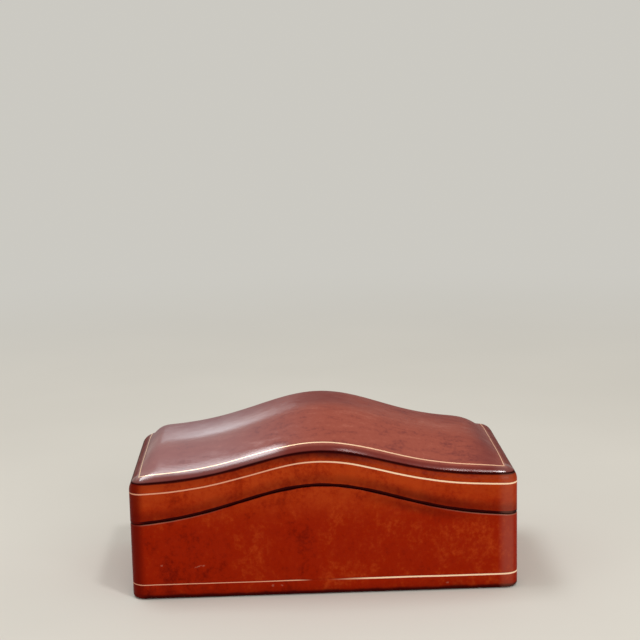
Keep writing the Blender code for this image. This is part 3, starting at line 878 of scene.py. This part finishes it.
def round_rim(piece, level, radius, segments):
    pick(piece, "EDGE", lies_at(2, level))
    bpy.ops.mesh.bevel(offset=radius, segments=segments, profile=0.5, affect="EDGES")


def open_face(piece, level, width):
    """Leaves a flange of that width at a level and takes the middle out."""
    pick(piece, "FACE", lies_at(2, level))
    bpy.ops.mesh.inset(thickness=width, depth=0)
    bpy.ops.mesh.delete(type="FACE")


def new_modifier(piece, kind):
    bpy.ops.object.mode_set(mode="OBJECT")
    bpy.ops.object.modifier_add(type=kind)
    return piece.modifiers[-1]


def modify(piece, kind, **settings):
    """Applies a modifier to the piece."""
    modifier = new_modifier(piece, kind)
    for name, value in settings.items():
        setattr(modifier, name, value)
    bpy.ops.object.modifier_apply(modifier=modifier.name)


def bend(piece, group, **settings):
    """Applies a shape group to the piece."""
    modifier = new_modifier(piece, "NODES")
    modifier.node_group = bpy.data.node_groups[group]
    sockets = {item.name: item.identifier for item in modifier.node_group.interface.items_tree}
    for name, value in settings.items():
        modifier[sockets[words(name)]] = float(value)
    bpy.ops.object.modifier_apply(modifier=modifier.name)


def thicken(piece, shape):
    modify(piece, "SOLIDIFY", thickness=shape.leather, offset=-1, use_even_offset=True)


def round_edges(piece, width):
    modify(
        piece, "BEVEL", width=width, segments=2, limit_method="ANGLE", angle_limit=EDGE_ANGLE,
        use_clamp_overlap=True,
    )


def hand_over(piece, material, slot, body, *nodes):
    """Smooths the piece, gives it its finish and puts it on its body."""
    bpy.ops.object.mode_set(mode="OBJECT")
    bpy.ops.object.shade_smooth()
    modify(piece, "WEIGHTED_NORMAL", keep_sharp=True)
    piece.data.materials.clear()
    piece.data.materials.append(material)
    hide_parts(*nodes)
    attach(piece, body)
    deselect_all()


def seam_shape(shape):
    """What the serpentine takes so that all above the base's foot follows the seam."""
    return {
        "lower_level": FOOT_LEVEL, "lower_rise": 0, "lower_spread": shape.seam_spread,
        "upper_level": shape.seam_low - SEAM_MARGIN, "upper_rise": shape.seam_rise,
        "upper_spread": shape.seam_spread, "crest": shape.crest,
    }


def lid_shape(shape):
    """The same for the lid, from the seam up to the margin's line."""
    return {
        "lower_level": shape.seam_low + SEAM_MARGIN, "lower_rise": shape.seam_rise,
        "lower_spread": shape.seam_spread,
        "upper_level": shape.edge_low - shape.corner, "upper_rise": shape.edge_rise,
        "upper_spread": shape.edge_spread, "crest": shape.crest,
    }


def crown_shape(shape, level, play=0):
    return {
        "level": level,
        "half_length": shape.half_length - shape.crown_end_start,
        "half_depth": shape.half_depth - shape.crown_side_start,
        "height": shape.crown_low - play, "gain": shape.crown_gain,
        "crest": shape.crown_crest, "spread": shape.crown_spread,
        "left_width": shape.crown_left, "right_width": shape.crown_right,
        "side_width": shape.crown_side, "power": shape.crown_power,
    }


# Operators, one for each piece or group of like pieces

class PieceOperator:
    """What the operators share."""

    bl_options = {"REGISTER", "UNDO"}

    def execute(self, context):
        scene = context.scene
        self.make(scene.leather_box_shape, scene.leather_box_finish)
        return {"FINISHED"}


class LEATHERBOX_OT_carcase(PieceOperator, bpy.types.Operator):
    """Give the wooden carcase its limewood and plywood"""

    bl_idname = "leatherbox.carcase"
    bl_label = "Carcase"

    def make(self, shape, finish):
        wood = limewood("Limewood boards", finish.wood)
        ply = limewood("Thin ply", (0.45, 0.33, 0.19))
        for name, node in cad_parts.items():
            if name.endswith("_board"):
                material = ply if name.startswith("collar") else wood
                node.data.materials.clear()
                node.data.materials.append(material)


class LEATHERBOX_OT_base_leather(PieceOperator, bpy.types.Operator):
    """Cover the base: leather turned over the rim and under the floor"""

    bl_idname = "leatherbox.base_leather"
    bl_label = "Base leather"

    def make(self, shape, finish):
        rim = shape.seam_low - shape.seam_gap / 2
        foot = shape.foot_lift
        piece = rounded_block("base_leather", shape, 0, foot, rim)
        round_rim(piece, foot, shape.foot_rounding, FOOT_STEPS)
        round_rim(piece, rim, shape.rim_rounding, RIM_STEPS)
        open_face(piece, rim, shape.base_turn_in - shape.rim_rounding)
        open_face(piece, foot, shape.turn_under - shape.foot_rounding)
        bend(piece, "Serpentine", **seam_shape(shape))
        thicken(piece, shape)
        hand_over(
            piece, side_leather(shape, finish), "side_leather", "base", "base_side_leather"
        )


class LEATHERBOX_OT_base_sole(PieceOperator, bpy.types.Operator):
    """Make the sole, a plate of leather with softened edges"""

    bl_idname = "leatherbox.base_sole"
    bl_label = "Sole"

    def make(self, shape, finish):
        piece = plate("base_sole_leather", "base_sole", shape, 4, LEATHER_EDGE)
        hand_over(piece, sole_leather(finish), "sole_leather", "base", "base_sole")


class LEATHERBOX_OT_base_lining(PieceOperator, bpy.types.Operator):
    """Line the floor of the base with suede"""

    bl_idname = "leatherbox.base_lining"
    bl_label = "Floor lining"

    def make(self, shape, finish):
        piece = plate("base_floor_suede", "base_floor_lining", shape, 3, LINING_EDGE)
        hand_over(piece, suede_leather(finish), "suede", "base", "base_floor_lining")


class LEATHERBOX_OT_collar_suede(PieceOperator, bpy.types.Operator):
    """Face the collar with suede, turned over its top edge"""

    bl_idname = "leatherbox.collar_suede"
    bl_label = "Collar facings"

    def make(self, shape, finish):
        material = suede_leather(finish)
        for place, axis, side in (
            ("front", 1, -1), ("back", 1, 1), ("left", 0, -1), ("right", 0, 1),
        ):
            self.facing(shape, material, place, axis, side)

    def facing(self, shape, material, place, axis, side):
        node = f"collar_{place}_suede"
        low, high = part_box(node)
        along = 1 - axis
        end_top = shape.seam_low + COLLAR_STAND
        size = [0, 0, end_top - low[2]]
        middle = [0, 0, (low[2] + end_top) / 2]
        inner, outer = (low[axis], high[axis])[::side]
        size[axis] = shape.suede
        middle[axis] = inner + side * shape.suede / 2
        size[along] = high[along] - low[along]
        piece = begin(f"collar_{place}_facing", bpy.ops.mesh.primitive_cube_add, size, middle)
        pick(piece, "EDGE", longer_than(high[along]))
        bpy.ops.mesh.subdivide(number_cuts=FACING_CUTS)
        bpy.ops.mesh.select_all(action="SELECT")
        cap = end_top - shape.suede
        bpy.ops.mesh.bisect(plane_co=(0, 0, cap), plane_no=(0, 0, 1))
        face = inner + side * shape.suede
        pick(piece, "FACE", lambda item: abs(item.calc_center_median()[axis] - face) < NEAR
             and item.calc_center_median().z > cap)
        move = [0, 0, 0]
        move[axis] = outer - face
        extrude(move)
        bend(piece, "Serpentine", **seam_shape(shape))
        round_edges(piece, FACING_EDGE)
        hand_over(piece, material, "suede", "base", node)


class LEATHERBOX_OT_lid_side(PieceOperator, bpy.types.Operator):
    """Cover the lid's sides: leather turned in at the rim and rolled to the crease"""

    bl_idname = "leatherbox.lid_side"
    bl_label = "Lid side leather"

    def make(self, shape, finish):
        rim = shape.seam_low + shape.seam_gap / 2
        plumb = shape.edge_low - shape.corner
        piece = rounded_block("lid_leather", shape, 0, rim, plumb)
        round_rim(piece, rim, shape.rim_rounding, RIM_STEPS)
        open_face(piece, rim, shape.lid_turn_in - shape.rim_rounding)
        pick(piece, "FACE", lies_at(2, plumb))
        upright = math.pi / 2
        turn = shape.crease_angle + shape.glue_gap / shape.corner - upright
        angles = [upright + turn * step / CREASE_STEPS for step in range(CREASE_STEPS + 1)]
        for start, end in zip(angles, angles[1:]):
            bpy.ops.mesh.inset(
                thickness=shape.corner * (math.sin(start) - math.sin(end)),
                depth=shape.corner * (math.cos(end) - math.cos(start)),
            )
        bpy.ops.mesh.delete(type="FACE")
        bend(piece, "Serpentine", **lid_shape(shape))
        thicken(piece, shape)
        round_edges(piece, LEATHER_EDGE)
        material = bpy.data.materials.get("Side leather") or side_leather(shape, finish)
        hand_over(piece, material, "side_leather", "lid", "lid_side_leather")


class LEATHERBOX_OT_lid_top(PieceOperator, bpy.types.Operator):
    """Cover the lid's top: leather crowned over the cushion and rolled over the edge"""

    bl_idname = "leatherbox.lid_top"
    bl_label = "Lid top leather"

    def make(self, shape, finish):
        half = (shape.half_length - shape.corner, shape.half_depth - shape.corner)
        piece = begin_grid("lid_top", half, shape.edge_low, 130, 60)
        reaches = [
            shape.corner * math.sin(shape.crease_angle * step / ROLL_STEPS)
            for step in range(ROLL_STEPS + 1)
        ]
        widths = [outer - inner for inner, outer in zip(reaches, reaches[1:])]
        for axis in (0, 1):
            for side in (-1, 1):
                self.widen(piece, axis, side, half[axis], widths)
        bend(
            piece, "Rolled edge", half_length=shape.half_length, half_depth=shape.half_depth,
            radius=shape.corner, roll=1,
        )
        bend(piece, "Crown", **crown_shape(shape, 0))
        bend(piece, "Serpentine", **lid_shape(shape))
        thicken(piece, shape)
        round_edges(piece, LEATHER_EDGE)
        hand_over(piece, top_leather(shape, finish), "top_leather", "lid", "lid_top_leather")

    def widen(self, piece, axis, side, place, widths):
        """Extrudes the grid's border outwards by each width."""
        for width in widths:
            pick(piece, "EDGE", lies_at(axis, side * place))
            move = [0, 0, 0]
            move[axis] = side * width
            extrude(move)
            place += width


class LEATHERBOX_OT_lid_wadding(PieceOperator, bpy.types.Operator):
    """Lay the wadding between the lid's top board and its leather"""

    bl_idname = "leatherbox.lid_wadding"
    bl_label = "Wadding"

    def make(self, shape, finish):
        low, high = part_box("lid_top_padding")
        bottom = shape.edge_low - WADDING_DROP
        piece = begin_grid("lid_cushion", high, bottom, 90, 44)
        extrude((0, 0, WADDING_EDGE))
        bend(
            piece, "Rolled edge", half_length=high[0], half_depth=high[1],
            radius=WADDING_CORNER, roll=0,
        )
        level = bottom + WADDING_EDGE / 2
        bend(piece, "Crown", **crown_shape(shape, level, WADDING_PLAY))
        bend(piece, "Serpentine", **lid_shape(shape))
        bpy.ops.object.mode_set(mode="EDIT")
        turn_outwards()
        hand_over(piece, wadding_felt(finish), "wadding", "lid", "lid_top_padding")


class LEATHERBOX_OT_lid_linings(PieceOperator, bpy.types.Operator):
    """Line the lid with thin suede, on its walls and under its top board"""

    bl_idname = "leatherbox.lid_linings"
    bl_label = "Lid linings"

    def make(self, shape, finish):
        material = suede_leather(finish)
        ceiling = shape.edge_low - shape.corner - shape.glue_gap - shape.lining
        start = shape.seam_low + LINING_START
        end = ceiling - shape.glue_gap - LINING_PLAY
        for place in ("front", "back", "left", "right"):
            node = f"lid_{place}_lining"
            low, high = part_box(node)
            size = (high[0] - low[0], high[1] - low[1], end - start)
            middle = ((high[0] + low[0]) / 2, (high[1] + low[1]) / 2, (start + end) / 2)
            piece = begin(f"lid_{place}_suede", bpy.ops.mesh.primitive_cube_add, size, middle)
            pick(piece, "EDGE", longer_than(max(size[0], size[1]) - NEAR))
            bpy.ops.mesh.subdivide(number_cuts=LINING_CUTS)
            bend(piece, "Serpentine", **lid_shape(shape))
            round_edges(piece, LINING_EDGE)
            hand_over(piece, material, "suede", "lid", node)
        low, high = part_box("lid_top_lining")
        piece = begin_grid("lid_top_suede", high, ceiling, 100, 4)
        extrude((0, 0, shape.lining))
        turn_outwards()
        bend(
            piece, "Serpentine", lower_level=-1, lower_rise=shape.edge_rise,
            lower_spread=shape.edge_spread, upper_level=0, upper_rise=shape.edge_rise,
            upper_spread=shape.edge_spread, crest=shape.crest,
        )
        round_edges(piece, LINING_EDGE)
        hand_over(piece, material, "suede", "lid", "lid_top_lining")


# Lamps: name, place, size, power and tone; all are aimed at a point in the box
LAMPS = (
    ("Window left", (-0.57, 0.19, 1.8), (0.9, 0.4), 9.8, (0.92, 0.96, 1)),
    ("Window behind", (-0.41, 2.38, 0.72), (0.45, 0.34), 0.9, (0.8, 0.92, 1)),
    ("Window right", (0.46, -0.72, 1.72), (0.16, 0.26), 6.5, (1, 1, 1)),
    ("Front fill", (0.95, -2.2, 0.8), (1.6, 1), 19, (1, 1, 1)),
)
AIM = (0, 0, 0.08)

# The camera: its place, and its turn to the right, its tip downwards and its roll
CAMERA_PLACE = (-0.030512, -1.103785, 0.385195)
CAMERA_ANGLES = (0.0292767, 0.1756791, -0.0227204)
NEAREST_SEEN = 0.01

# The floor: its half size, and how far from the box it goes over into the surround
FLOOR_HALF = (6, 6)
FLOOR_FADE = (0.4, 1.6)
PALER = 1.04
BLACK = (0, 0, 0)


class LEATHERBOX_OT_studio(bpy.types.Operator):
    """Set up the pale floor, the soft lamps and the camera"""

    bl_idname = "leatherbox.studio"
    bl_label = "Studio"
    bl_options = {"REGISTER", "UNDO"}

    def execute(self, context):
        studio = context.scene.leather_box_studio
        self.floor(studio)
        self.surround(context, studio)
        for lamp in LAMPS:
            self.lamp(*lamp)
        self.camera(context, studio)
        context.scene.view_settings.view_transform = "Standard"
        return {"FINISHED"}

    def floor(self, studio):
        piece = begin_grid("studio_floor", FLOOR_HALF, 0, studio.samples, studio.samples)
        deselect_all()
        material, place = new_material("Studio floor", 0.9, 1, Emission_Strength=1)
        paler = [min(value * PALER, 1) for value in studio.floor]
        hue = mix(place.noise(3, 3).ramp(0.3, 0.7), studio.floor, paler)
        away = place.through("ShaderNodeVectorMath", {0: place}, 1, operation="LENGTH")
        far = away.ramp(*FLOOR_FADE)
        feed(
            material, Base_Color=mix(far, hue, BLACK),
            Emission_Color=mix(far, BLACK, studio.surround),
        )
        piece.data.materials.append(material)

    def surround(self, context, studio):
        world = bpy.data.worlds.new("Studio surround")
        context.scene.world = world
        world.use_nodes = True
        plug(world.node_tree.nodes["Background"], {"Color": studio.surround, "Strength": 1})

    def lamp(self, name, place, size, power, tone):
        deselect_all()
        bpy.ops.object.light_add(type="AREA", location=place)
        lamp = bpy.context.object
        lamp.name = name
        lamp.data.shape = "RECTANGLE"
        lamp.data.size, lamp.data.size_y = size
        lamp.data.energy = power
        lamp.data.color = tone
        lamp.visible_camera = False
        aim = Vector(AIM) - Vector(place)
        lamp.rotation_euler = aim.to_track_quat("-Z", "Y").to_euler()

    def camera(self, context, studio):
        deselect_all()
        bpy.ops.object.camera_add(location=CAMERA_PLACE)
        camera = bpy.context.object
        camera.name = "Camera"
        turn, tip, roll = CAMERA_ANGLES
        ahead = Vector((
            math.sin(turn) * math.cos(tip), math.cos(turn) * math.cos(tip), -math.sin(tip),
        ))
        level = Vector((math.cos(turn), -math.sin(turn), 0))
        upright = level.cross(ahead)
        right = math.cos(roll) * level + math.sin(roll) * upright
        up = math.cos(roll) * upright - math.sin(roll) * level
        camera.rotation_euler = Matrix((right, up, -ahead)).transposed().to_euler()
        camera.data.lens = studio.lens
        camera.data.sensor_width = 36
        camera.data.clip_start = NEAREST_SEEN
        camera.data.dof.use_dof = False
        context.scene.camera = camera


OPERATORS = (
    LEATHERBOX_OT_carcase,
    LEATHERBOX_OT_base_sole,
    LEATHERBOX_OT_base_leather,
    LEATHERBOX_OT_base_lining,
    LEATHERBOX_OT_collar_suede,
    LEATHERBOX_OT_lid_side,
    LEATHERBOX_OT_lid_wadding,
    LEATHERBOX_OT_lid_top,
    LEATHERBOX_OT_lid_linings,
    LEATHERBOX_OT_studio,
)


class LEATHERBOX_PT_panel(bpy.types.Panel):
    """Lists the box's operators."""

    bl_idname = "LEATHERBOX_PT_panel"
    bl_label = "Leather Box"
    bl_space_type = "VIEW_3D"
    bl_region_type = "UI"
    bl_category = "Leather Box"

    def draw(self, context):
        for operator in OPERATORS:
            self.layout.operator(operator.bl_idname)


SETTINGS = {
    "leather_box_shape": LeatherBoxShape,
    "leather_box_finish": LeatherBoxFinish,
    "leather_box_studio": LeatherBoxStudio,
}


def register():
    for item in (*SETTINGS.values(), *OPERATORS, LEATHERBOX_PT_panel):
        bpy.utils.register_class(item)
    for name, item in SETTINGS.items():
        setattr(bpy.types.Scene, name, PointerProperty(type=item))


def unregister():
    for name in SETTINGS:
        delattr(bpy.types.Scene, name)
    for item in (LEATHERBOX_PT_panel, *reversed(OPERATORS), *SETTINGS.values()):
        bpy.utils.unregister_class(item)


def main():
    register()
    for make in GROUP_MAKERS:
        make()
    for operator in OPERATORS:
        category, name = operator.bl_idname.split(".")
        getattr(getattr(bpy.ops, category), name)()


if __name__ == "__main__":
    main()
